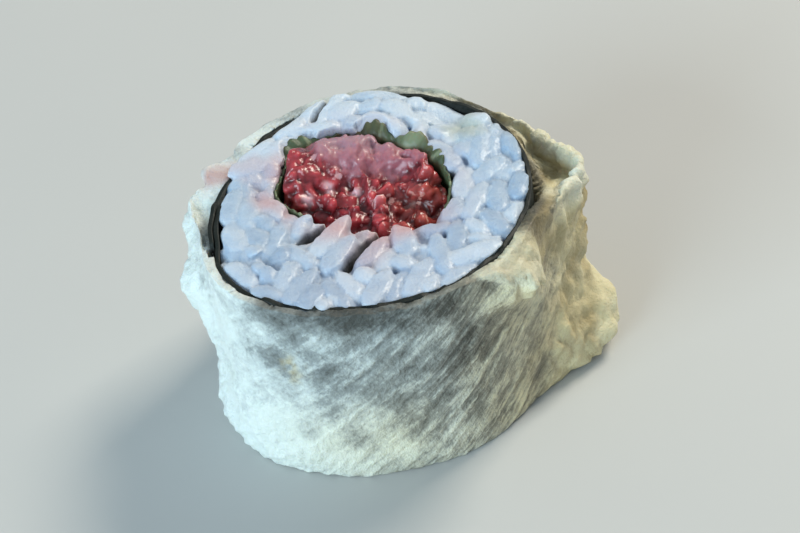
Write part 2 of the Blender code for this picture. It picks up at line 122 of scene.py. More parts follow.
# Rice
GRAIN_LENGTH = 6.2 * MM
GRAIN_WIDTH = 2.65 * MM
GRAIN_KINDS = 7
GRAIN_RUN = 51.0
GRAINS_ABOVE = 150
GRAINS_BELOW = 130
PACK_ROUNDS = 110
PACK_SOFTNESS = 0.82
OUTER_TOUCH = 0.92
INNER_TOUCH = 0.9
VOXEL_ABOVE = 0.163 * MM
VOXEL_BELOW = 0.25 * MM
SLAB_STEPS = 240
SLAB_RINGS = 24
CUT_LEVEL = 22.45 * MM
MOUND = 0.8 * MM
LOW_TURN = 50.0
LOW_WIDTH = 13.0
NORI_SHOWN = 1.3 * MM
RICE_LEAN = 1.3 * MM
CRACK_WIDTH = 0.45 * MM
CRACK_DEPTH = 2.2 * MM
CRACKS = MM * np.array((
    ((-9.0, -5.5), (-5.4, -3.0)),
    ((-4.8, -10.2), (-2.2, -6.8)),
    ((-2.2, -6.8), (-0.3, -5.4)),
))
BACK_GAP = MM * np.array(((-6.1, 11.0), (-3.9, 14.8)))
OLIVE_MIDDLE = (9.0 * MM, 7.2 * MM)
JUICE_RUN = MM * np.array(((-9.8, 4.6), (-17.0, 6.6)))

# Tuna
TUNA_VOXEL = 0.2 * MM
CHUNK_SIZE = 2.1 * MM
CHUNK_SMALL = 0.45 * CHUNK_SIZE
PALE_MIDDLE = (-0.4 * MM, 6.2 * MM)
PALE_AXES = ((0.99, 0.13), (-0.13, 0.99))
PALE_LENGTH = 6.5 * MM
PALE_WIDTH = 3.4 * MM
FAT_SIZE = 0.6 * MM
FAT_BITS = MM * np.array(((-5.4, 2.6), (-2.9, 1.6), (-7.6, 1.2), (-0.6, -0.2), (2.2, -0.7)))

# Shiso
LEAF_STEPS = 260
LEAF_ROWS = 26
LEAF_TEETH = 34.0
LEAF_THICK = 0.24 * MM
LEAF_GAP = 0.06 * MM
LEAF_REACH = 1.9 * MM
LEAF_RISE = 1.6
LEAF_BEND = 22.0 * MM
LEAF_START = -38.0
LEAF_END = 208.0
# The leaf's flaps: turn, width and how far each stands up
LEAF_FLAPS = ((131.0, 12.0, 0.55), (75.0, 12.0, 0.68), (39.0, 14.0, 0.7), (15.0, 9.0, 0.5))


# ---- shapes of the frame

def outline(node, middle, z, from_outside):
    """Radii of a node's outline at a height, one for each step of angle round a middle."""
    corners = [corner.co for corner in node.data.vertices]
    faces = [tuple(face.vertices) for face in node.data.polygons]
    tree = BVHTree.FromPolygons(corners, faces)
    start = Vector((middle.x, middle.y, z))
    reach = 40.0 * MM
    radii = []
    for step in range(OUTLINE_STEPS):
        turn = 2.0 * math.pi * step / OUTLINE_STEPS
        ray = Vector((math.cos(turn), math.sin(turn), 0.0))
        if from_outside:
            far = tree.ray_cast(start + ray * reach, -ray)[3]
            radii.append(reach - far if far else 0.0)
        else:
            radii.append(tree.ray_cast(start, ray)[3] or 0.0)
    return np.array(radii)


def radius_at(radii, angle):
    """The outline's radius at angles in radians."""
    share = (np.asarray(angle) / (2.0 * math.pi)) % 1.0 * OUTLINE_STEPS
    steps = np.arange(OUTLINE_STEPS + 1)
    return np.interp(share, steps, np.append(radii, radii[0]))


def bump_at(value, centre, width):
    """1 at a centre, falling smoothly to 0 on both sides of it; for a turn or for a height."""
    away = (np.asarray(value) - centre + 180.0) % 360.0 - 180.0
    return np.exp(-(away / width) ** 2)


def ramp(value, low, high):
    """0 below low, 1 above high and a smooth ramp between."""
    share = np.clip((np.asarray(value) - low) / (high - low), 0.0, 1.0)
    return share * share * (3.0 - 2.0 * share)


def above(points, low, high):
    """0 for points below a height and 1 above another, both in millimetres."""
    return ramp(points[:, 2], low * MM, high * MM)


def polar(points, axis):
    """The way out to each point from an axis, its angle round it and its distance from it."""
    off = points[:, :2] - axis
    return off, np.arctan2(off[:, 1], off[:, 0]), np.hypot(off[:, 0], off[:, 1])


def at_radius(points, axis, radius):
    """Points moved straight out from an axis, or in to it, to a distance from it."""
    off, _, before = polar(points, axis)
    moved = points.copy()
    moved[:, :2] = axis + off * (radius / before)[:, None]
    return moved


def off_line(points, start, end):
    """The way out to each point from a line between two places, seen from above."""
    run = end - start
    share = np.clip(((points[:, :2] - start) @ run) / (run @ run), 0.0, 1.0)
    return points[:, :2] - (start + share[:, None] * run)


def distance_to_line(points, start, end):
    """How far each point is from a line between two places, seen from above."""
    return np.linalg.norm(off_line(points, start, end), axis=1)


# ---- mesh tools

def points_of(mesh, what="co"):
    """A mesh's corners, or its normals there, as an array."""
    found = np.empty(len(mesh.vertices) * 3, np.float32)
    mesh.vertices.foreach_get(what, found)
    return found.reshape(-1, 3).astype(float)


def set_points(mesh, points):
    """Move a mesh's corners."""
    mesh.vertices.foreach_set("co", np.ascontiguousarray(points, np.float32).ravel())
    mesh.update()


def add_values(mesh, **values):
    """Keep numbers at each corner, for the material to read."""
    for name, numbers in values.items():
        kept = mesh.attributes.new(name, "FLOAT", "POINT")
        kept.data.foreach_set("value", np.ascontiguousarray(numbers, np.float32))


def even_out(mesh, values, rounds):
    """Average the number at each corner with those of its neighbours."""
    ends = np.empty(len(mesh.edges) * 2, np.int32)
    mesh.edges.foreach_get("vertices", ends)
    one, two = ends.reshape(-1, 2).T
    total = len(values)
    near = np.bincount(ends, minlength=total)
    for _ in range(rounds):
        beside = np.bincount(one, values[two], total) + np.bincount(two, values[one], total)
        values = 0.5 * (values + beside / near)
    return values


def grain_noise(points, size, shift=0.0):
    """Soft noise with features of a size, at each point."""
    scaled = points / size + shift
    return np.array([noise.noise(point) for point in scaled.tolist()])


def billow(points, size, shift=0.0):
    """Rounded swellings with creases between them, 0 in the creases."""
    return np.abs(grain_noise(points, size, shift)) * 2.0


def stirred(points, reach, size):
    """Points moved about by noise, so that lumps drawn from them have no straight creases."""
    moves = [grain_noise(points, size, shift) for shift in (3, 5, 8)]
    return points + reach * np.stack(moves, 1)


def clean_copy(node, name):
    """A CAD node's mesh as one joined skin."""
    shape = bmesh.new()
    shape.from_mesh(node.data)
    bmesh.ops.remove_doubles(shape, verts=shape.verts, dist=1e-7)
    mesh = bpy.data.meshes.new(name)
    shape.to_mesh(mesh)
    shape.free()
    return mesh


def mesh_from(name, points, faces):
    """A mesh from an array of corners and lists of corner numbers."""
    mesh = bpy.data.meshes.new(name)
    mesh.from_pydata([tuple(point) for point in points], [], faces)
    mesh.update()
    return mesh


def add_object(name, data):
    """A new object in the scene."""
    made = bpy.data.objects.new(name, data)
    bpy.context.scene.collection.objects.link(made)
    return made


def with_modifier(mesh, kind, **settings):
    """The mesh as it is after one modifier."""
    thing = add_object("work", mesh)
    change = thing.modifiers.new("change", kind)
    for name, value in settings.items():
        setattr(change, name, value)
    bpy.context.view_layer.update()
    evaluated = thing.evaluated_get(bpy.context.evaluated_depsgraph_get())
    changed = bpy.data.meshes.new_from_object(evaluated)
    changed.name = mesh.name
    bpy.data.objects.remove(thing, do_unlink=True)
    return changed


def fuse(mesh, voxel):
    """One even skin of small faces round everything in the mesh."""
    return with_modifier(mesh, "REMESH", mode="VOXEL", voxel_size=voxel)


def relax(mesh, rounds):
    """Smooth away the steps that fusing leaves."""
    return with_modifier(mesh, "SMOOTH", factor=0.5, iterations=rounds)


def keep_in_box(points, low, high):
    """Hold points inside the plain model's box."""
    return np.clip(points, np.array(low) + 0.02 * MM, np.array(high) - 0.02 * MM)


def place_piece(name, mesh, material, node):
    """Put a finished mesh in the scene, riding on the body and standing for its CAD node."""
    mesh.materials.clear()
    mesh.materials.append(material)
    mesh.shade_smooth()
    piece = add_object(name, mesh)
    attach(piece, "root")
    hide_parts(node)
    return piece


# ---- materials

class Look:
    """A material, and the shader nodes that feed its surface."""

    def __init__(self, name):
        self.material = bpy.data.materials.new(name)
        self.material.use_nodes = True
        self.tree = self.material.node_tree

    def fill(self, node, inputs):
        """Set a node's inputs; each is a value or another node's output."""
        for name, value in inputs.items():
            if isinstance(value, bpy.types.NodeSocket):
                self.tree.links.new(value, node.inputs[name])
            else:
                node.inputs[name].default_value = value

    def finish(self, inputs):
        """The material, with the inputs of its surface set."""
        self.fill(self.tree.nodes["Principled BSDF"], inputs)
        return self.material

    def add(self, kind, inputs, **settings):
        """The outputs of a new node with its inputs and settings."""
        made = self.tree.nodes.new("ShaderNode" + kind)
        for name, value in settings.items():
            setattr(made, name, value)
        self.fill(made, inputs)
        return made.outputs

    def place(self):
        """The point being shaded, in the model's own metres."""
        return self.add("TexCoord", {})["Object"]

    def noise(self, size, detail=3.0, roughness=0.55, place=None, distortion=0.0):
        """Noise with features of a size in metres."""
        return self.add("TexNoise", {
            "Vector": place or self.place(),
            "Scale": 1.0 / size,
            "Detail": detail,
            "Roughness": roughness,
            "Distortion": distortion,
        })["Fac"]

    def along_drips(self, axis):
        """The shaded point turned back by its height, so that noise there runs like the drips."""
        place = self.place()
        turn = self.math("MULTIPLY", self.add("SeparateXYZ", {0: place})["Z"], -DRIP_LEAN / MM)
        inputs = {"Vector": place, "Center": (*axis, 0.0), "Angle": turn}
        turned = self.add("VectorRotate", inputs, rotation_type="Z_AXIS")[0]
        squash = {0: turned, 1: (1.0, 1.0, DRIP_SQUASH)}
        return self.add("VectorMath", squash, operation="MULTIPLY")[0]

    def value(self, name):
        """A number kept at the mesh's corners."""
        return self.add("Attribute", {}, attribute_name=name, attribute_type="GEOMETRY")["Fac"]

    def math(self, operation, one, two, three=0.0):
        """Arithmetic on two or three values."""
        return self.add("Math", {0: one, 1: two, 2: three}, operation=operation)[0]

    def varied(self, value, amount, base):
        """A base that noise between 0 and 1 moves up and down by half an amount."""
        return self.math("MULTIPLY_ADD", self.math("SUBTRACT", value, 0.5), amount, base)

    def spread(self, value, low, high):
        """Stretch a value so that low becomes 0 and high becomes 1, and hold it there."""
        inputs = {"Value": value, "From Min": low, "From Max": high}
        return self.add("MapRange", inputs, clamp=True)[0]

    def blend(self, share, one, two):
        """From one colour to another by a share."""
        one, two = [(*side, 1.0) if isinstance(side, tuple) else side for side in (one, two)]
        return self.add("Mix", {0: share, 6: one, 7: two}, data_type="RGBA")[2]

    def relief(self, height, distance):
        """Normals of fine relief from a height."""
        return self.add("Bump", {"Height": height, "Distance": distance})[0]


def batter_colour(look, fine, patch, drips):
    """Cream where thick, a grey film over the nori where thin, tan where crisp; greyer and tan along
    the very foot at the front as painted contact shade.
    """
    warm = look.value("warm")
    drips = look.math("SUBTRACT", drips, 0.5)
    drips = look.math("MULTIPLY", drips, look.value("drip"))
    speckle = look.math("ADD", look.math("MULTIPLY_ADD", fine, 0.9, -0.45), drips)
    cover = look.math("ADD", look.value("cover"), speckle)
    dark = look.blend(warm, (0.060, 0.069, 0.064), (0.075, 0.067, 0.042))
    grey = look.blend(warm, (0.39, 0.435, 0.43), (0.42, 0.38, 0.26))
    film = look.blend(look.spread(cover, -0.3, 0.55), dark, grey)
    cool = look.blend(patch, (0.64, 0.71, 0.66), (0.84, 0.91, 0.89))
    cream = look.blend(patch, (0.66, 0.58, 0.31), (0.90, 0.84, 0.58))
    thick = look.blend(warm, cool, cream)
    colour = look.blend(look.spread(cover, 0.35, 1.0), film, thick)
    # The crisp share also carries painted contact shade along the very foot at the front.
    crisp = look.spread(look.varied(patch, 0.8, look.value("toast")), 0.1, 0.9)
    colour = look.blend(crisp, colour, (0.37, 0.285, 0.12))
    return look.blend(look.value("stain"), colour, (0.52, 0.27, 0.25))


def batter_material(axis):
    """Fried batter: gritty and a little oily, with streaks that run like drips."""
    look = Look("batter")
    fine = look.noise(0.45 * MM, 4.0, 0.6)
    patch = look.noise(2.4 * MM, 4.0, 0.6, distortion=0.5)
    drips = look.noise(0.38 * MM, 3.0, 0.6, look.along_drips(axis))
    grit = look.math("MULTIPLY_ADD", look.noise(0.22 * MM, 3.0), 0.5, fine)
    return look.finish({
        "Base Color": batter_colour(look, fine, patch, drips),
        "Roughness": look.spread(fine, -0.5, 1.4),
        "Normal": look.relief(grit, 0.2 * MM),
        "Subsurface Weight": 0.2,
        "Subsurface Radius": (1.0, 0.85, 0.6),
        "Subsurface Scale": 1.0 * MM,
        "Coat Weight": 0.15,
        "Coat Roughness": 0.25,
    })


def nori_material():
    """Nori: near black green, softly pitted."""
    look = Look("nori")
    patch = look.noise(1.6 * MM, 4.0)
    return look.finish({
        "Base Color": look.blend(patch, (0.004, 0.006, 0.005), (0.016, 0.022, 0.018)),
        "Roughness": 0.5,
        "Specular IOR Level": 0.3,
        "Normal": look.relief(look.noise(0.45 * MM, 4.0), 0.1 * MM),
    })


def rice_material():
    """Cooked rice: moist and translucent, tinted by the tuna and the leaf, with painted shade near
    black in the cracks.
    """
    look = Look("rice")
    cloud = look.noise(1.5 * MM, 4.0, 0.65)
    mixed = look.math("MULTIPLY_ADD", cloud, 1.2, -0.6)
    mixed = look.math("ADD", look.value("shade"), mixed)
    colour = look.blend(mixed, (0.345, 0.465, 0.61), (0.585, 0.685, 0.79))
    colour = look.blend(look.value("pink"), colour, (0.60, 0.42, 0.44))
    colour = look.blend(look.value("olive"), colour, (0.42, 0.44, 0.24))
    fine = look.noise(0.3 * MM, 3.0, 0.6)
    return look.finish({
        # The deep value is painted shade: near black down in the cracks of the cut rice.
        "Base Color": look.blend(look.value("deep"), colour, (0.040, 0.042, 0.040)),
        "Roughness": look.spread(fine, -0.4, 1.6),
        "Normal": look.relief(look.math("MULTIPLY_ADD", fine, 0.6, cloud), 0.2 * MM),
        "Subsurface Weight": 0.85,
        "Subsurface Radius": (1.0, 0.95, 0.9),
        "Subsurface Scale": 0.9 * MM,
        "Coat Weight": 0.3,
        "Coat Roughness": 0.22,
    })


def tuna_material():
    """Chopped raw tuna: deep wet red with pale flecks and painted shade near black in the creases
    between chunks, and dull pink where it is matt.
    """
    look = Look("tuna")
    grain = look.noise(0.7 * MM, 4.0, 0.6)
    brown = look.value("brown")
    bright = look.blend(brown, (0.56, 0.07, 0.085), (0.42, 0.10, 0.055))
    # Painted shade: the shade value takes the red to near black in the creases between chunks.
    red = look.blend(look.value("shade"), (0.06, 0.002, 0.006), bright)
    fleck = look.spread(look.noise(1.0 * MM, 2.0), 0.62, 0.69)
    fleck = look.math("MULTIPLY", fleck, 0.7)
    fleck = look.math("MAXIMUM", fleck, look.value("fat"))
    fat = look.blend(brown, (0.82, 0.50, 0.54), (0.72, 0.36, 0.20))
    red = look.blend(fleck, red, fat)
    pink = look.blend(grain, (0.27, 0.065, 0.09), (0.52, 0.21, 0.25))
    pink = look.blend(look.value("greyed"), pink, (0.42, 0.29, 0.35))
    mixed = look.spread(look.varied(grain, 0.9, look.value("pale")), 0.1, 0.9)
    return look.finish({
        "Base Color": look.blend(mixed, red, pink),
        "Roughness": look.math("MULTIPLY_ADD", mixed, 0.3, 0.2),
        "Normal": look.relief(grain, 0.12 * MM),
        "Subsurface Weight": 0.35,
        "Subsurface Radius": (1.0, 0.25, 0.2),
        "Subsurface Scale": 0.8 * MM,
        "Coat Weight": 0.3,
        "Coat Roughness": 0.12,
    })


def shiso_material():
    """Shiso leaf: deep green with paler veins and brown, wilted patches."""
    look = Look("shiso")
    patch = look.noise(2.4 * MM, 3.0)
    green = look.blend(patch, (0.030, 0.052, 0.025), (0.125, 0.165, 0.085))
    colour = look.blend(look.value("vein"), green, (0.25, 0.30, 0.18))
    return look.finish({
        "Base Color": look.blend(look.value("wilted"), colour, (0.075, 0.050, 0.022)),
        "Roughness": 0.45,
        "Normal": look.relief(look.noise(0.6 * MM, 4.0), 0.08 * MM),
        "Subsurface Weight": 0.15,
        "Subsurface Scale": 0.5 * MM,
    })


def floor_material():
    """Plain pale tabletop."""
    look = Look("floor")
    cloud = look.noise(30.0 * MM, 2.0)
    return look.finish({
        "Base Color": look.blend(cloud, (0.53, 0.535, 0.52), (0.56, 0.56, 0.54)),
        "Roughness": 0.6,
    })


# ---- batter

def with_patches(total, patches, turn, height):
    """A total with the patches of a table added, each falling smoothly to 0 round its middle."""
    for amount, centre, width, middle, half in patches:
        total = total + amount * bump_at(turn, centre, width) * bump_at(height, middle, half)
    return total


def back_lobe(turn, points):
    """How many millimetres the rim's lobe at the back left stands out."""
    lobe = with_patches(0.0, LOBES, turn, points[:, 2] / MM)
    return lobe * (1.0 + 0.9 * grain_noise(points, 2.2 * MM, 15.0))


def side_bend(turn, height):
    """How many millimetres the right side stands out: a straighter frill and a blunter foot."""
    bend = 0.3 * bump_at(turn, 34.0, 5.0) - 1.7 * bump_at(turn, 19.0, 9.0)
    return with_patches(bend * ramp(height, 12.0, 18.0), SIDE_BENDS, turn, height)


def front_lump(turn, height):
    """1 on the lump under the rim at the front right, whose lower edge slopes to the right."""
    turn = turn % 360.0
    foot = np.interp(turn, LUMP_TURNS, LUMP_FEET)
    there = ramp(turn, 293.0, 299.0) * (1.0 - ramp(turn, 324.0, 333.0))
    return there * ramp(height, foot - 0.5, foot + 0.4)


def film_streaks(points, shape):
    """Fine streaks up the wall that lean to the right in front, from -1 to 1."""
    angle = polar(points, shape.axis)[1] - points[:, 2] / MM * DRIP_LEAN
    twisted = np.stack([
        np.cos(angle) * DRIP_RADIUS,
        np.sin(angle) * DRIP_RADIUS,
        points[:, 2] * DRIP_SQUASH,
    ], 1)
    return grain_noise(twisted, 0.9 * MM, 1.0) + 0.6 * grain_noise(twisted, 0.5 * MM, 6.0)


class Crust:
    """The fried batter over its plain solid: how its shape and its look come about."""

    def __init__(self, node, shape):
        skin = clean_copy(node, "batter_fried")
        self.mesh = with_modifier(skin, "SUBSURF", levels=2, render_levels=2)
        self.shape = shape
        self.points = points_of(self.mesh)
        self.normals = points_of(self.mesh, "normal")
        self.box = (self.points.min(0), self.points.max(0))
        off, angle, radius = polar(self.points, shape.axis)
        self.turn = np.degrees(angle)
        self.radial = off / radius[:, None]
        self.sheet = radius_at(shape.nori_out, angle)
        self.thick = (radius - self.sheet) / MM
        self.height = self.points[:, 2] / MM
        self.steep = 1.0 - ramp(self.normals[:, 2], 0.25, 0.7)
        facing = (self.normals[:, :2] * self.radial).sum(1)
        self.outer = 1.0 - ramp(-facing, 0.1, 0.5) * (1.0 - self.deep(0.5, 0.9))
        self.lumpy = self.deep(1.1, 3.0) * (1.0 - 0.6 * self.near(180.0, 28.0))
        self.lump = front_lump(self.turn, self.height)
        self.frill = self.near(FRILL_TURN, FRILL_WIDTH)
        self.hollow = self.frill * ramp(self.normals[:, 2], 0.2, 0.8)
        self.hollow *= self.deep(0.3, 1.4) * (1.0 - self.above(18.0, 20.0))

    def near(self, turn, width):
        """1 at a turn, falling smoothly to 0 on both sides of it."""
        return bump_at(self.turn, turn, width)

    def patch(self, turn, width, height, half):
        """1 in the middle of a patch of the wall, falling smoothly to 0 round it."""
        return self.near(turn, width) * bump_at(self.height, height, half)

    def above(self, low, high):
        """0 below a height and 1 above another."""
        return ramp(self.height, low, high)

    def deep(self, low, high):
        """0 where the solid is thinner than a depth and 1 where it is thicker than another."""
        return ramp(self.thick, low, high)

    def push_out(self, far):
        """Move the crust out from the roll's axis by millimetres."""
        self.points[:, :2] += self.radial * (far * MM)[:, None]

    def roughen(self):
        """Swell the crust: crags and grit where it is thick, streaks where it is a film."""
        points = self.points
        wavy = stirred(points, 0.5 * MM, 1.7 * MM)
        lift = self.lumpy * (0.75 * billow(wavy, CRUST_LUMP) - 0.35)
        lift += (0.10 + 0.20 * self.lumpy) * (billow(wavy, CRUST_GRIT, 4.0) - 0.45)
        lift += (0.05 + 0.07 * self.lumpy) * grain_noise(points, CRUST_SPECK, 9.0)
        lift += (1.0 - self.lumpy) * 0.16 * self.steep * film_streaks(points, self.shape)
        lift += 0.45 * self.lump * self.deep(0.3, 1.0)
        lift += self.frill * 0.4 * self.above(15.0, 18.0) * self.lumpy
        edge = self.above(18.5, 20.0) * self.deep(2.0, 3.0)
        lift += self.frill * 0.35 * edge
        self.points += self.normals * (self.outer * lift * MM)[:, None]

    def bend(self):
        """Push out the lobe at the back left, bend the right side and fill the frill's floor."""
        self.lobe = back_lobe(self.turn, self.points)
        self.push_out(self.lobe * self.deep(0.05, 0.4) * self.outer)
        height = self.points[:, 2] / MM
        self.push_out(side_bend(self.turn, height) * self.deep(1.5, 3.0))
        low_there = self.near(22.0, 10.0) * self.deep(2.0, 3.5)
        self.points[:, 2] -= FRILL_LOWER * low_there * ramp(height, 15.0, 20.0)
        height = self.points[:, 2] / MM
        self.points[:, 2] += FRILL_FLOOR * self.hollow * ramp(height, 13.0, 15.0)

    def lie_on_nori(self):
        """Hold the inner skin against the nori, and the outer skin at a least depth over it."""
        radius = polar(self.points, self.shape.axis)[2]
        least = self.sheet + self.outer * FILM_LEAST + NORI_GAP
        radius = np.where(self.outer < 0.5, least, np.maximum(radius, least))
        self.points[:, :2] = self.shape.axis + self.radial * radius[:, None]

    def raise_rim(self):
        """Draw the thin rim up raggedly, and up further beside the dip at the right."""
        self.height = self.points[:, 2] / MM
        edge = self.above(18.5, 21.5) * (1.0 - self.deep(1.0, 2.2))
        level = self.points * FROM_ABOVE
        ragged = grain_noise(level, 2.6 * MM, 2.0) + 0.5 * grain_noise(level, 0.9 * MM, 7.0)
        self.points[:, 2] += edge * (RIM_RISE + RIM_RAGGED * ragged)
        beside = self.near(336.0, 26.0) * self.above(18.0, 20.5)
        self.points[:, 2] += RIM_BESIDE * beside * (1.0 - self.deep(0.6, 2.0))

    def ease(self, rounds, share):
        """Smooth the crust by a share at each corner."""
        set_points(self.mesh, self.points)
        soft = points_of(relax(self.mesh, rounds))
        self.points += (soft - self.points) * share[:, None]

    def soften(self):
        """Smooth the lumps, the frill's edge and the dip, then set the crust on the nori."""
        self.dip = self.near(0.0, 26.0) * self.above(13.0, 15.0)
        self.dip *= 1.0 - self.deep(1.2, 2.6)
        edge = self.frill * self.above(17.0, 19.0) * self.deep(1.5, 2.5)
        self.ease(4, np.maximum(0.6 * self.lumpy, edge) * self.outer)
        self.ease(20, np.minimum(1.0, 1.5 * self.dip) * self.above(18.2, 19.2))
        _, angle, radius = polar(self.points, self.shape.axis)
        held = np.maximum(radius, radius_at(self.shape.nori_out, angle) + NORI_GAP)
        self.points = at_radius(self.points, self.shape.axis, held)
        set_points(self.mesh, keep_in_box(self.points, *self.box))
        self.film = (radius - self.sheet) / MM

    def milkiness_and_foot_shade(self):
        """How milky the batter is, and so how well a thin film of it hides the nori; less milky along
        the very foot at the front, as painted contact shade.
        """
        milky = 0.74 * front_lump(self.turn, self.height)
        for amount, turn, width in MILKY_SIDES:
            milky += amount * self.near(turn, width)
        for amount, turn, width, start, full in MILKY_FEET:
            milky += amount * self.near(turn, width) * ramp(-self.height, -start, -full)
        milky = with_patches(milky, MILKY_PATCHES, self.turn, self.height)
        milky -= 0.45 * self.above(19.0, 20.8) * self.near(258.0, 46.0)
        edge = self.above(18.5, 20.5) * (1.0 - front_lump(self.turn, self.height))
        milky -= 0.45 * edge * self.near(343.0, 13.0)
        milky -= 0.65 * edge * self.near(341.0, 13.0) * (1.0 - ramp(self.film, 1.0, 2.0))
        # Painted contact shade: less milky, so greyer and darker, along the very foot at the front
        # where it stands on the floor.
        foot = 1.0 - self.above(0.5, 4.0)
        return milky * (1.0 - 0.55 * self.near(270.0, 30.0) * foot)

    def cover(self):
        """How well the batter hides the nori: from its depth and how milky it is there."""
        streaks = (0.5 + 0.7 * self.near(300.0, 35.0)) * self.steep
        mottle = streaks * film_streaks(self.points, self.shape)
        mottle += 1.3 * grain_noise(self.points, 3.2 * MM, 11.0)
        mottle += 0.6 * grain_noise(self.points, 1.1 * MM, 13.0)
        cover = 0.14 + self.milkiness_and_foot_shade() + 0.85 * ramp(self.film, 1.3, 3.0) + 0.38 * mottle
        cover += 0.5 * self.ridge - 1.0 * self.gap + 0.5 * self.lobe
        return cover + (even_out(self.mesh, cover, 14) - cover) * np.minimum(1.0, 1.6 * self.dip)

    def toast(self):
        """How crisp and tan the batter is: most on the right, round the frill and its foot; tan along
        the very foot at the front is painted contact shade.
        """
        toast = 0.7 * self.near(8.0, 40.0) * self.deep(0.8, 1.8)
        toast *= 1.0 - 0.9 * self.above(17.8, 19.8) * self.deep(1.8, 2.6)
        toast *= 1.0 - 0.9 * self.deep(4.6, 6.0) * (1.0 - self.above(8.0, 11.0))
        uneven = grain_noise(self.points, 4.0 * MM, 31.0)
        toast += 0.14 * self.lump + 0.5 * self.near(8.0, 50.0) * uneven
        toast *= (1.0 - 0.8 * self.ridge) * (1.0 - 0.7 * self.gap)
        toast -= 0.35 * self.patch(352.0, 10.0, 8.0, 3.0)
        # Painted contact shade: tan along the very foot at the front where it stands on the floor.
        foot = 1.0 - self.above(0.5, 3.5)
        return toast + 0.8 * self.spot + 0.3 * self.near(264.0, 18.0) * foot

    def warm(self):
        """How yellow the batter is, from 0, bluish white, to 1."""
        rim = self.above(18.0, 20.0) * self.deep(2.0, 3.0)
        rim *= self.near(10.0, 40.0)
        mottle = 0.25 * grain_noise(self.points, 5.0 * MM, 21.0) * (1.0 - rim)
        warm = self.near(4.0, 58.0) * (1.0 - 0.28 * rim)
        warm += 0.55 * self.patch(262.0, 30.0, 5.0, 6.0)
        warm += 0.42 * self.near(312.0, 28.0) - 0.3 * self.ridge - 0.22 * self.lump
        warm += self.spot + mottle * self.near(0.0, 90.0)
        return np.clip(warm, 0.0, 1.0)

    def dress(self):
        """Keep at each corner what the batter's material reads."""
        self.ridge = self.near(0.5, 6.5) * self.above(18.3, 19.3)
        self.ridge *= self.deep(0.5, 1.3)
        self.gap = self.near(14.0, 8.0) * self.above(15.0, 17.0)
        self.gap *= 1.0 - ramp(self.film, 0.5, 1.4)
        spot = self.patch(235.0, 4.5, 14.8, 1.4)
        spot *= 0.5 + 1.2 * grain_noise(self.points, 0.9 * MM, 17.0)
        self.spot = np.clip(spot, 0.0, 1.0)
        stain = 0.75 * juice(self.points) * self.above(16.0, 19.0)
        drip = self.steep * (0.25 + 1.2 * self.near(302.0, 32.0))
        cover = self.cover()
        add_values(self.mesh, cover=cover, toast=self.toast(), warm=self.warm(), stain=stain, drip=drip)


def make_batter(node, shape):
    """The fried batter: its solid made finer, lying on the nori, and crusty where it is thick."""
    crust = Crust(node, shape)
    crust.roughen()
    crust.bend()
    crust.lie_on_nori()
    crust.raise_rim()
    crust.soften()
    crust.dress()
    return place_piece("batter_fried", crust.mesh, batter_material(shape.axis), "batter")


# ---- nori

def make_nori(node, shape):
    """The sheet of nori: its solid made finer, with a torn, wavering edge."""
    skin = bmesh.new()
    skin.from_mesh(clean_copy(node, "nori_sheet"))
    bmesh.ops.subdivide_edges(skin, edges=skin.edges, cuts=3, use_grid_fill=True)
    mesh = bpy.data.meshes.new("nori_sheet")
    skin.to_mesh(mesh)
    skin.free()
    points = points_of(mesh)
    top = above(points, 21.5, 22.5)
    turn = np.degrees(polar(points, shape.axis)[1])
    rise = NORI_RAGGED * grain_noise(points * FROM_ABOVE, 1.5 * MM, 3.0) - 0.15
    rise += 0.35 * bump_at(turn, 132.0, 13.0) - 0.2 * bump_at(turn, 335.0, 35.0)
    points[:, 2] += top * rise * MM
    points += points_of(mesh, "normal") * (NORI_RIPPLE * grain_noise(points, 1.3 * MM))[:, None]
    set_points(mesh, points)
    return place_piece("nori_sheet", mesh, nori_material(), "nori")


# ---- rice

def grain_template(seed):
    """One grain along Z, a unit wide and long: blunt, a little flat, uneven, nicked at one tip."""
    shape = bmesh.new()
    bmesh.ops.create_uvsphere(shape, u_segments=20, v_segments=16, radius=1.0)
    points = np.array([corner.co[:] for corner in shape.verts])
    faces = [[corner.index for corner in face.verts] for face in shape.faces]
    shape.free()
    along = points[:, 2]
    blunt = np.sqrt(np.clip(1.0 - np.abs(along) ** 2.6, 0.0, 1.0))
    round_there = np.sqrt(np.clip(1.0 - along ** 2, 1e-6, 1.0))
    swell = blunt / round_there * (1.0 - 0.10 * along)
    points[:, 0] *= swell
    points[:, 1] *= swell * 0.88
    nick = np.exp(-((along - 0.78) / 0.2) ** 2 - ((points[:, 0] - 0.8) / 0.5) ** 2)
    points[:, 0] -= 0.4 * nick
    uneven = 0.16 * grain_noise(points, 0.9, 10.0 * seed) + 0.07 * grain_noise(points, 0.4, seed)
    points[:, :2] *= 1.0 + uneven[:, None]
    return points * 0.5, faces


def crack_push(spots, thick, start, end):
    """How far balls must move sideways to leave a crack open between two places."""
    off = off_line(spots, start, end)
    away = np.linalg.norm(off, axis=1) + TINY
    over = np.clip(CRACK_WIDTH + thick * INNER_TOUCH - away, 0.0, None)
    return off / away[:, None] * (over * (spots[:, 2] > 19.0 * MM))[:, None]


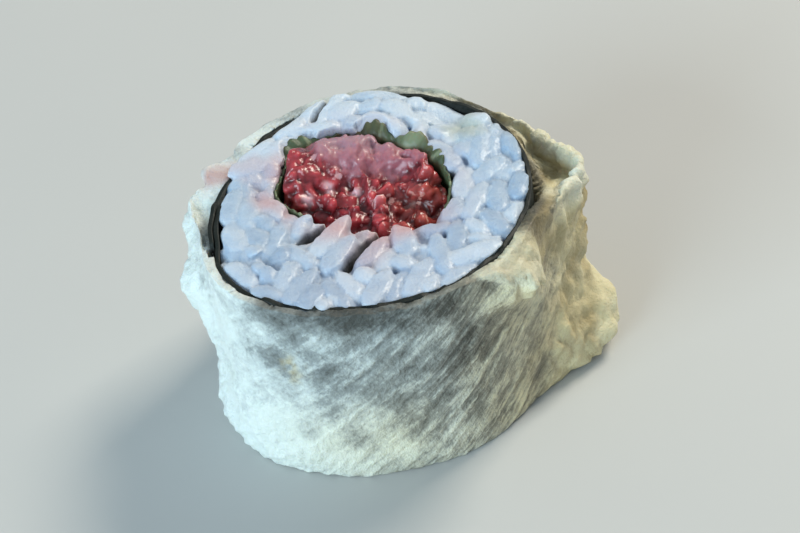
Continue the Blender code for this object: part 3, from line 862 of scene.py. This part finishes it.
class Grains:
    """Grains as short rods of three balls each, pressed together between two levels."""

    def __init__(self, shape, count, low, high, seed):
        dice = np.random.default_rng(seed)
        self.shape = shape
        self.low = low
        self.high = high
        self.thick = 0.5 * GRAIN_WIDTH * dice.uniform(0.88, 1.06, count)
        self.step = dice.uniform(-0.7, 0.0, count) * MM
        broken = np.where(dice.uniform(0.0, 1.0, count) < 0.14, 0.7, 1.0)
        self.length = GRAIN_LENGTH * dice.uniform(0.86, 1.08, count) * broken
        angle = dice.uniform(0.0, 2.0 * math.pi, count)
        share = np.sqrt(dice.uniform(0.0, 1.0, count))
        inner = 8.5 * MM
        radius = inner + (radius_at(shape.rice_out, angle) - inner) * share
        self.middle = np.stack([
            shape.axis[0] + radius * np.cos(angle),
            shape.axis[1] + radius * np.sin(angle),
            dice.uniform(low, high, count),
        ], 1)
        turn = np.degrees(angle)
        aligned = np.maximum(bump_at(turn, 255.0, 55.0), bump_at(turn, 0.0, 45.0))
        around = (turn + 90.0) % 180.0
        around = np.where(around - GRAIN_RUN > 90.0, around - 180.0, around)
        heading = around + aligned * (GRAIN_RUN - around) + dice.normal(0.0, 32.0, count)
        upright = dice.uniform(0.0, 1.0, count) < 0.10 + 0.5 * bump_at(turn, 62.0, 22.0)
        self.length = np.where(upright, 0.72 * self.length, self.length)
        tilt = np.where(upright, dice.uniform(1.0, 1.4, count), dice.normal(0.0, 0.4, count))
        self.level = np.where(upright, 1.0, 0.995)
        heading = np.radians(heading)
        self.along = np.stack([
            np.cos(heading) * np.cos(tilt),
            np.sin(heading) * np.cos(tilt),
            np.sin(tilt),
        ], 1)
        self.reach = 0.5 * self.length - self.thick
        self.roll = dice.uniform(0.0, 2.0 * math.pi, count)
        self.bend = dice.uniform(-0.12, 0.12, count)

    def balls(self):
        """The middles of the three balls in each grain."""
        steps = np.array([-1.0, 0.0, 1.0])[:, None]
        ends = (self.along * self.reach[:, None])[:, None, :]
        return self.middle[:, None, :] + ends * steps

    def settle(self, rounds):
        """Push grains apart and back between the levels, until they lie pressed together."""
        count = len(self.thick)
        owner = np.repeat(np.arange(count), 3)
        thick = np.repeat(self.thick, 3)
        apart = owner[:, None] != owner[None, :]
        least = (thick[:, None] + thick[None, :]) * PACK_SOFTNESS
        for _ in range(rounds):
            spots = self.balls().reshape(-1, 3)
            gap = spots[:, None, :] - spots[None, :, :]
            away = np.linalg.norm(gap, axis=2) + TINY
            overlap = np.where(apart, np.clip(least - away, 0.0, None), 0.0)
            push = (gap / away[:, :, None] * overlap[:, :, None]).sum(1) * 0.3
            push += self.walls(spots, thick)
            push = push.reshape(count, 3, 3)
            self.middle += push.mean(1)
            ends = self.along * self.reach[:, None] * 2.0 + (push[:, 2] - push[:, 0])
            self.along = ends / np.linalg.norm(ends, axis=1)[:, None]
            self.along[:, 2] *= self.level
            self.along /= np.linalg.norm(self.along, axis=1)[:, None]

    def walls(self, spots, thick):
        """How far each ball must move to stay in the rice's own space."""
        push = np.zeros_like(spots)
        off, angle, radius = polar(spots, self.shape.axis)
        radius += TINY
        limit = radius_at(self.shape.rice_out, angle) + bulge(angle, spots[:, 2] + thick)
        over = np.clip(radius + thick * OUTER_TOUCH - limit, 0.0, None)
        push[:, :2] -= off / radius[:, None] * over[:, None]
        off, angle, radius = polar(spots, self.shape.tuna_axis)
        radius += TINY
        lean = 0.5 * MM * ramp(spots[:, 2], 20.5 * MM, 22.0 * MM)
        hollow = radius_at(self.shape.rice_in, angle) - lean
        under = np.clip(hollow + thick * INNER_TOUCH - radius, 0.0, None)
        push[:, :2] += off / radius[:, None] * under[:, None]
        for start, end in CRACKS:
            push[:, :2] += crack_push(spots, thick, start, end)
        top = self.high + self.shape.mound(spots) + np.repeat(self.step, 3)
        push[:, 2] += np.clip(self.low + thick - spots[:, 2], 0.0, None)
        push[:, 2] -= np.clip(spots[:, 2] + thick - top, 0.0, None)
        return push

    def mesh(self, name, extra):
        """All grains, and an extra mesh of points and faces, as one mesh."""
        kinds = [grain_template(seed) for seed in range(GRAIN_KINDS)]
        points = [extra[0]]
        polygons = list(extra[1])
        start = len(extra[0])
        for index in range(len(self.thick)):
            template, faces = kinds[index % len(kinds)]
            along = self.along[index]
            side = np.cross(along, (0.3, 0.1, 1.0))
            side /= np.linalg.norm(side) + TINY
            up = np.cross(side, along)
            turn = self.roll[index]
            one = side * math.cos(turn) + up * math.sin(turn)
            two = up * math.cos(turn) - side * math.sin(turn)
            width = 2.0 * self.thick[index]
            bent = template[:, 0] + self.bend[index] * (template[:, 2] * 2.0) ** 2
            grain = bent[:, None] * one * width
            grain = grain + template[:, 1][:, None] * two * width
            grain = grain + template[:, 2][:, None] * along * self.length[index]
            points.append(grain + self.middle[index])
            polygons.extend([[corner + start for corner in face] for face in faces])
            start += len(template)
        return mesh_from(name, np.concatenate(points), polygons)


def rice_slab(shape, low, high):
    """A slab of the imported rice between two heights: its points and faces."""
    points = []
    for step in range(SLAB_STEPS):
        angle = 2.0 * math.pi * step / SLAB_STEPS
        way = np.array([math.cos(angle), math.sin(angle)])
        out = shape.axis + (radius_at(shape.rice_out, angle) - 0.5 * MM) * way
        into = shape.tuna_axis + (radius_at(shape.rice_in, angle) + 0.3 * MM) * way
        points.append((*out, low))
        for ring in range(SLAB_RINGS + 1):
            points.append((*(out + (into - out) * ring / SLAB_RINGS), high))
        points.append((*into, low))
    count = SLAB_RINGS + 3
    faces = []
    for step in range(SLAB_STEPS):
        here = count * step
        after = count * ((step + 1) % SLAB_STEPS)
        for edge in range(count):
            ahead = (edge + 1) % count
            faces.append([here + edge, after + edge, after + ahead, here + ahead])
    points = np.array(points)
    on_top = points[:, 2] == high
    front = 1.0 - ramp(points[:, 1] - shape.axis[1], 0.0, 5.0 * MM)
    lift = 0.5 * (billow(points, 2.2 * MM, 3.0) - 0.5) + 0.5 * front
    points[:, 2] += on_top * MM * lift
    return points, faces


def stand_flat(points):
    """Flatten the lower grains where the piece stands on them."""
    points[:, 2] = np.clip(points[:, 2], 0.03 * MM, None)
    return points


def cut_cracks(points, shape):
    """Open the cracks between the upper grains, and say how dark the painted shade makes each point
    deep in one.
    """
    away = crack_distance(points)
    split = (1.0 - ramp(away, 0.0, CRACK_WIDTH)) * above(points, 18.5, 20.5)
    points[:, 2] -= CRACK_DEPTH * split
    deep = (1.0 - ramp(away, 0.1 * MM, 0.8 * MM)) * above(points, 17.0, 18.5)
    return deep * (1.0 - ramp(points[:, 2] - shape.mound(points), 21.4 * MM, 22.3 * MM))


def own_shades(grains, points, seed):
    """A shade from 0 to 1 for each point, the same all over the grain nearest to it."""
    nearest = KDTree(len(grains.thick) * 3)
    for index, spot in enumerate(grains.balls().reshape(-1, 3)):
        nearest.insert(spot, index // 3)
    nearest.balance()
    owner = np.array([nearest.find(point)[1] for point in points.tolist()])
    return np.random.default_rng(seed).uniform(0.0, 1.0, len(grains.thick))[owner]


def make_rice(name, shape, count, low, high, seed, slab, voxel, press):
    """Grains settled between two levels over a slab of rice, sticking where they touch."""
    grains = Grains(shape, count, low, high, seed)
    grains.settle(PACK_ROUNDS)
    mesh = relax(fuse(grains.mesh(name, rice_slab(shape, *slab)), voxel), 1)
    points = points_of(mesh)
    lift = 0.08 * grain_noise(points, 0.8 * MM, 2.0) + 0.04 * grain_noise(points, 0.35 * MM, 6.0)
    points = press(points + points_of(mesh, "normal") * (lift * MM)[:, None])
    points = shape.lean_over_tuna(shape.within_nori(points))
    points = shape.clear_of_leaf(points)
    # deep: painted shade, near black down in the cracks.
    deep = cut_cracks(points, shape)
    set_points(mesh, points)
    # Painted light: the rice is made whiter towards the back, where the key light falls on it.
    behind = ramp(points[:, 1] - shape.axis[1], 4.0 * MM, 10.0 * MM)
    shade = own_shades(grains, points, seed + 1) + 0.5 * behind
    pink = shape.pinkness(points)
    add_values(mesh, shade=shade, pink=pink, olive=olive(points), deep=deep)
    return place_piece(name, mesh, rice_material(), "rice")


# ---- tuna

def swell_tuna(points, back, shape):
    """Move the tuna's upper part out to fill the hollow, and up, more of it behind."""
    off, angle, radius = polar(points, shape.tuna_axis)
    share = radius / radius_at(shape.tuna_out, angle)
    upper = above(points, 12.0, 20.0)
    out = upper * ramp(share, 0.4, 1.0) * (0.3 + 0.25 * back) * MM
    points[:, :2] += off / radius[:, None] * out[:, None]
    points[:, 2] += upper * (0.3 + 0.9 * back * ramp(share, 0.3, 0.9)) * MM


def fat_bits(points):
    """1 on the pale bits of fat in the tuna, falling smoothly to 0 round them."""
    away = np.min([np.linalg.norm(points[:, :2] - bit, axis=1) for bit in FAT_BITS], axis=0)
    away += 0.25 * MM * grain_noise(points, 0.8 * MM, 14.0)
    fat = 1.0 - ramp(away, 0.4 * FAT_SIZE, 1.2 * FAT_SIZE)
    return fat * above(points, 19.0, 21.0)


def tint_tuna(mesh, points):
    """Keep where the tuna is a pale, matt pink, where that is greyed, and where it is browner."""
    across = (points[:, :2] - PALE_MIDDLE) @ np.array(PALE_AXES)
    away = np.hypot(across[:, 0] / PALE_LENGTH, across[:, 1] / PALE_WIDTH)
    away += 0.22 * grain_noise(points, 1.8 * MM, 3.0) + 0.12 * grain_noise(points, 0.8 * MM, 5.0)
    right = ramp(points[:, 0], -1.5 * MM, 2.0 * MM)
    front = 1.0 - ramp(points[:, 1], -0.5 * MM, 2.5 * MM)
    greyed = 0.6 * ramp(points[:, 1], 4.5 * MM, 7.0 * MM)
    add_values(mesh, pale=1.0 - ramp(away, 0.8, 1.15), greyed=greyed, brown=0.5 * right * front)


def make_tuna(node, shape):
    """The chopped tuna: its solid swollen to fill the hollow, broken into wet chunks."""
    mesh = fuse(clean_copy(node, "tuna_chopped"), TUNA_VOXEL)
    points = points_of(mesh)
    normals = points_of(mesh, "normal")
    back = ramp(points[:, 1] - shape.tuna_axis[1], -1.0 * MM, 3.0 * MM)
    swell_tuna(points, back, shape)
    wavy = stirred(points, 0.4 * MM, 1.5 * MM)
    chunk = billow(wavy, CHUNK_SIZE)
    small = billow(wavy, CHUNK_SMALL, 2.0)
    fat = fat_bits(points)
    lift = (0.9 - 0.45 * back) * (chunk - 0.5) + (0.45 - 0.2 * back) * (small - 0.4)
    lift += 0.12 * grain_noise(points, 0.7 * MM, 6.0) + 0.1 * grain_noise(points, 0.4 * MM)
    lift += 0.3 * fat
    lift *= 0.25 + 0.75 * np.abs(normals[:, 2])
    set_points(mesh, points + normals * (lift * MM)[:, None])
    mesh = relax(mesh, 1)
    points = points_of(mesh)
    points[:, 2] = np.clip(points[:, 2], 0.1 * MM, shape.top - 0.1 * MM)
    set_points(mesh, points)
    # shade: painted shade, 0 in the creases between chunks and 1 on their crowns.
    add_values(mesh, shade=np.clip(0.5 * chunk + 0.5 * small, 0.0, 1.0), fat=fat)
    tint_tuna(mesh, points)
    return place_piece("tuna_chopped", mesh, tuna_material(), "tuna")


# ---- shiso

def flap_height(turn):
    """How far the leaf's flaps stand up at a turn, from 0 to about 1."""
    height = 0.0
    for centre, width, rise in LEAF_FLAPS:
        height = height + rise * np.exp(-np.abs((turn - centre) / width) ** 2.5)
    return height


def leaf_column(shape, along, face, foot, edge):
    """One column of the leaf from its foot to its edge: x, y, z, veined and wilted at each row."""
    start = math.radians(LEAF_START)
    angle = start + (math.radians(LEAF_END) - start) * along
    turn = math.degrees(angle)
    flap = float(flap_height(turn))
    tooth = abs((along * LEAF_TEETH) % 1.0 - 0.5) * 2.0
    wave = noise.noise((along * 11.0, 0.0, 5.0))
    top = edge + (LEAF_RISE * flap + 0.4 * (1.0 - flap) * wave - 0.3 * tooth) * MM
    base = float(radius_at(shape.leaf_in, angle)) + 0.05 * MM + face * LEAF_THICK
    faded = 0.8 * float(bump_at(turn, 40.0, 10.0))
    column = []
    for row in range(LEAF_ROWS + 1):
        level = 1.0 - (1.0 - row / LEAF_ROWS) ** 2
        z = foot + (top - foot) * level
        ripple = noise.noise((along * 16.0, level * 4.0, 1.0))
        bent = max(0.0, z - LEAF_BEND) / max(top - LEAF_BEND, 0.3 * MM)
        radius = base + 0.12 * MM * ripple + flap * LEAF_REACH * bent ** 2
        x = shape.tuna_axis[0] + radius * math.cos(angle)
        y = shape.tuna_axis[1] + radius * math.sin(angle)
        slope = (along * 9.0 + level * 1.6) % 1.0
        vein = 0.8 if abs(slope - 0.5) < 0.05 else faded
        dry = float(ramp(noise.noise((along * 5.0, level, 8.0)), 0.0, 0.4))
        column.append((x, y, z, vein, dry * max(0.0, 1.0 - flap)))
    return column


def leaf_faces():
    """The faces of the leaf's two sides, and those round its border that join them."""
    column = LEAF_ROWS + 1
    side = (LEAF_STEPS + 1) * column
    faces = []
    for step in range(LEAF_STEPS):
        for row in range(LEAF_ROWS):
            here = step * column + row
            quad = [here, here + column, here + column + 1, here + 1]
            faces.append(quad)
            faces.append([corner + side for corner in quad[::-1]])
    border = [step * column for step in range(LEAF_STEPS + 1)]
    border += [LEAF_STEPS * column + row for row in range(1, LEAF_ROWS + 1)]
    border += [step * column + LEAF_ROWS for step in range(LEAF_STEPS - 1, -1, -1)]
    border += list(range(LEAF_ROWS - 1, 0, -1))
    for here, after in zip(border, border[1:] + border[:1]):
        faces.append([after, here, here + side, after + side])
    return faces


def make_leaf(shape):
    """The shiso leaf round the back of the tuna, its toothed edge curling out over the rice."""
    low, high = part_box("shiso")
    corners = []
    for face in (0, 1):
        for step in range(LEAF_STEPS + 1):
            corners += leaf_column(shape, step / LEAF_STEPS, face, low.z, high.z)
    corners = np.array(corners)
    mesh = mesh_from("shiso_leaf", corners[:, :3], leaf_faces())
    add_values(mesh, vein=corners[:, 3], wilted=corners[:, 4])
    return place_piece("shiso_leaf", mesh, shiso_material(), "shiso")


# ---- outlines shared by the layers

def fill_front(radii):
    """Carry the leaf's outline on across the front, where there is no leaf."""
    known = np.nonzero(radii)[0]
    return np.interp(np.arange(OUTLINE_STEPS), known, radii[known], period=OUTLINE_STEPS)


def bulge(angle, z):
    """How far the rice swells out over the nori's edge, above it, at the right and back."""
    turn = np.degrees(angle)
    swell = 0.45 + 0.5 * bump_at(turn, 19.0, 13.0) + 0.3 * bump_at(turn, 85.0, 14.0)
    uneven = 0.35 * np.sin(angle * 11.0 + 1.0) * np.sin(angle * 4.0)
    swell += uneven - 0.3 * bump_at(turn, 118.0, 16.0)
    swell -= 0.6 * bump_at(turn, 185.0, 20.0) + 1.0 * bump_at(turn, LOW_TURN, LOW_WIDTH)
    return swell * MM * ramp(z, 22.1 * MM, 22.6 * MM)


def crack_distance(points):
    """How far each point is from the nearest crack of the cut rice, seen from above."""
    lines = (*CRACKS, BACK_GAP)
    away = np.min([distance_to_line(points, start, end) for start, end in lines], axis=0)
    return away + 0.25 * MM * grain_noise(points * FROM_ABOVE, 1.2 * MM, 12.0)


def juice(points):
    """How much a run of tuna juice, out over the left rim, tints each point."""
    away = distance_to_line(points, *JUICE_RUN) + 1.0 * MM * grain_noise(points, 1.6 * MM, 7.0)
    return 1.0 - ramp(away, 0.4 * MM, 2.4 * MM)


def olive(points):
    """How much the leaf tints the rice behind on the right."""
    away = np.linalg.norm(points[:, :2] - OLIVE_MIDDLE, axis=1)
    away += 0.8 * MM * grain_noise(points, 1.5 * MM, 9.0)
    return 0.4 * (1.0 - ramp(away, 0.8 * MM, 2.8 * MM))


class RollShape:
    """Where each layer of the roll lies, measured on the plain solids."""

    def __init__(self, nodes):
        nori_low, nori_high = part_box("nori")
        tuna_low, tuna_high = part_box("tuna")
        axis = 0.5 * (nori_low + nori_high)
        tuna_axis = 0.5 * (tuna_low + tuna_high)
        half = 0.5 * nori_high.z
        self.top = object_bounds()[1].z
        self.axis = np.array(axis[:2])
        self.tuna_axis = np.array(tuna_axis[:2])
        self.nori_out = outline(nodes["nori"], axis, half, True)
        self.rice_out = outline(nodes["nori"], axis, half, False) - 0.05 * MM
        self.rice_in = outline(nodes["rice"], tuna_axis, half, False)
        self.tuna_out = outline(nodes["tuna"], tuna_axis, half, True)
        self.leaf_in = fill_front(outline(nodes["shiso"], tuna_axis, half, False))

    def mound(self, points):
        """How far the cut rice stands above its own level: it mounds up at the back."""
        off, angle, radius = polar(points, self.axis)
        outer = ramp(radius, 10.5 * MM, 13.5 * MM)
        low_there = 2.2 * outer * bump_at(np.degrees(angle), LOW_TURN, LOW_WIDTH)
        return MOUND * (ramp(off[:, 1], 3.0 * MM, 11.0 * MM) - low_there)

    def cut_level(self, points):
        """Press the upper grains level, as the knife leaves them."""
        over = np.clip(points[:, 2] - (CUT_LEVEL + self.mound(points)), 0.0, None)
        points[:, 2] = np.clip(points[:, 2] - 0.6 * over, None, self.top - 0.05 * MM)
        return points

    def within_nori(self, points):
        """Points of the rice held inside the nori, and clear of its edge at the back left."""
        _, angle, radius = polar(points, self.axis)
        limit = radius_at(self.rice_out, angle) + bulge(angle, points[:, 2])
        upper = above(points, 20.0, 22.0)
        limit -= NORI_SHOWN * bump_at(np.degrees(angle), 128.0, 13.0) * upper
        return at_radius(points, self.axis, np.minimum(radius, limit))

    def lean_over_tuna(self, points):
        """Points of the cut rice moved in over the tuna at the front left, as if pressed there."""
        off, angle, radius = polar(points, self.tuna_axis)
        away = radius - radius_at(self.rice_in, angle)
        lean = bump_at(np.degrees(angle), 243.0, 17.0) * (1.0 - ramp(away, 0.0, 3.0 * MM))
        lean *= above(points, 20.5, 22.0)
        moved = points.copy()
        moved[:, :2] -= off / radius[:, None] * (RICE_LEAN * lean)[:, None]
        return moved

    def clear_of_leaf(self, points):
        """Points moved out of the leaf to its far face, and pressed down under its flaps."""
        _, angle, radius = polar(points, self.tuna_axis)
        turn = (np.degrees(angle) + 90.0) % 360.0 - 90.0
        beside = ramp(turn, LEAF_START - 3.0, LEAF_START)
        beside *= 1.0 - ramp(turn, LEAF_END, LEAF_END + 3.0)
        face = radius_at(self.leaf_in, angle) + LEAF_THICK + LEAF_GAP
        cleared = np.maximum(radius, beside * (face + LEAF_GAP))
        flap = flap_height(turn)
        reach = LEAF_REACH * np.maximum(flap, 0.01)
        bent = np.sqrt(np.clip(cleared - face, 0.0, None) / reach)
        under = LEAF_BEND + bent * (0.3 + LEAF_RISE * flap) * MM - 0.15 * MM
        press = beside * ramp(flap, 0.06, 0.2) * (bent < 1.25)
        moved = at_radius(points, self.tuna_axis, cleared)
        moved[:, 2] -= press * np.clip(points[:, 2] - under, 0.0, None)
        return moved

    def pinkness(self, points):
        """How much the tuna's juice tints the rice at each point."""
        _, angle, radius = polar(points, self.tuna_axis)
        turn = np.degrees(angle)
        side = 0.3 + 0.7 * bump_at(turn, 185.0, 24.0) + 0.6 * bump_at(turn, 282.0, 40.0)
        near = 1.0 - ramp(radius - radius_at(self.rice_in, angle), 0.2 * MM, 3.4 * MM)
        stain = 0.6 + 0.8 * grain_noise(points, 2.2 * MM, 4.0)
        pink = near * side * stain + 0.12 * bump_at(turn, 270.0, 50.0) + 0.4 * juice(points)
        for start, end in CRACKS:
            middle = 0.5 * (start + end) + (1.0 * MM, -0.6 * MM)
            away = np.linalg.norm(points[:, :2] - middle, axis=1)
            pink += 0.45 * (1.0 - ramp(away, 0.6 * MM, 3.2 * MM))
        return np.clip(pink, 0.0, 1.0)


# ---- room

def aim(thing, place, target, roll=0.0):
    """Put a camera or light at a place, looking at a target."""
    back = Vector(place) - Vector(target)
    turned = back.to_track_quat("Z", "Y").to_matrix().to_4x4()
    thing.matrix_world = Matrix.Translation(place) @ turned @ Matrix.Rotation(roll, 4, "Z")


def make_camera():
    """The camera at the photograph's angle, distance and tilt."""
    data = bpy.data.cameras.new("camera")
    data.lens = VIEW_LENS
    data.clip_start = 10.0 * MM
    camera = add_object("camera", data)
    rise = math.radians(VIEW_ELEVATION)
    low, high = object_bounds()
    target = Vector((0.5 * (low.x + high.x) + VIEW_ASIDE, 0.5 * (low.y + high.y), VIEW_HEIGHT))
    back = Vector((0.0, -math.cos(rise), math.sin(rise)))
    aim(camera, target + VIEW_DISTANCE * back, target, math.radians(-VIEW_ROLL))
    bpy.context.scene.camera = camera


def make_area_light(name, place, size, power, colour):
    """A soft square light aimed at the piece."""
    data = bpy.data.lights.new(name, "AREA")
    data.size = size
    data.energy = power
    data.color = colour
    light = add_object(name, data)
    aim(light, Vector(place), (0.0, 0.0, 10.0 * MM))


def make_floor():
    """A wide pale floor, just under the piece."""
    corners = [(-3, -3, 0), (3, -3, 0), (3, 3, 0), (-3, 3, 0)]
    mesh = mesh_from("floor", corners, [[0, 1, 2, 3]])
    mesh.materials.append(floor_material())
    ground = add_object("floor", mesh)
    ground.location.z = -0.05 * MM
    ground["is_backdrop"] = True


def make_room():
    """Pale floor, warm soft key from behind on the right, cool fill from the front left."""
    make_floor()
    make_area_light("key", place=(0.34, 0.26, 0.46), size=0.2, power=3.0, colour=(1.0, 0.93, 0.80))
    make_area_light("fill", place=(-0.42, -0.40, 0.20), size=0.36, power=3.8, colour=(0.68, 0.88, 1.0))
    world = bpy.data.worlds.new("room")
    world.use_nodes = True
    sky = world.node_tree.nodes["Background"].inputs
    sky["Color"].default_value = (0.80, 0.91, 1.0, 1.0)
    sky["Strength"].default_value = 0.38
    bpy.context.scene.world = world
    bpy.context.scene.view_settings.view_transform = "Standard"


# ---- the piece

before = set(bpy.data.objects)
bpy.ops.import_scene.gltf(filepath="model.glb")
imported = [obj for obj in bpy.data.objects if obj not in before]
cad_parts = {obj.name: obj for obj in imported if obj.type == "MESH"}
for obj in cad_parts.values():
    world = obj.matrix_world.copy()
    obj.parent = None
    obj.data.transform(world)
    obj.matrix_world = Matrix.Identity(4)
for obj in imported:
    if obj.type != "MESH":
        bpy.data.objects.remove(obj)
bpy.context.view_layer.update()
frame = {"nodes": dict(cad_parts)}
nodes = frame["nodes"]
roll = RollShape(nodes)
make_camera()
make_room()
make_batter(nodes["batter"], roll)
make_nori(nodes["nori"], roll)
make_rice("rice_upper", roll, count=GRAINS_ABOVE, low=18.5 * MM, high=23.15 * MM, seed=4,
          slab=(18.6 * MM, 21.0 * MM), voxel=VOXEL_ABOVE, press=roll.cut_level)
make_rice("rice_lower", roll, count=GRAINS_BELOW, low=-0.6 * MM, high=3.6 * MM, seed=8,
          slab=(1.2 * MM, 18.8 * MM), voxel=VOXEL_BELOW, press=stand_flat)
make_tuna(nodes["tuna"], roll)
make_leaf(roll)
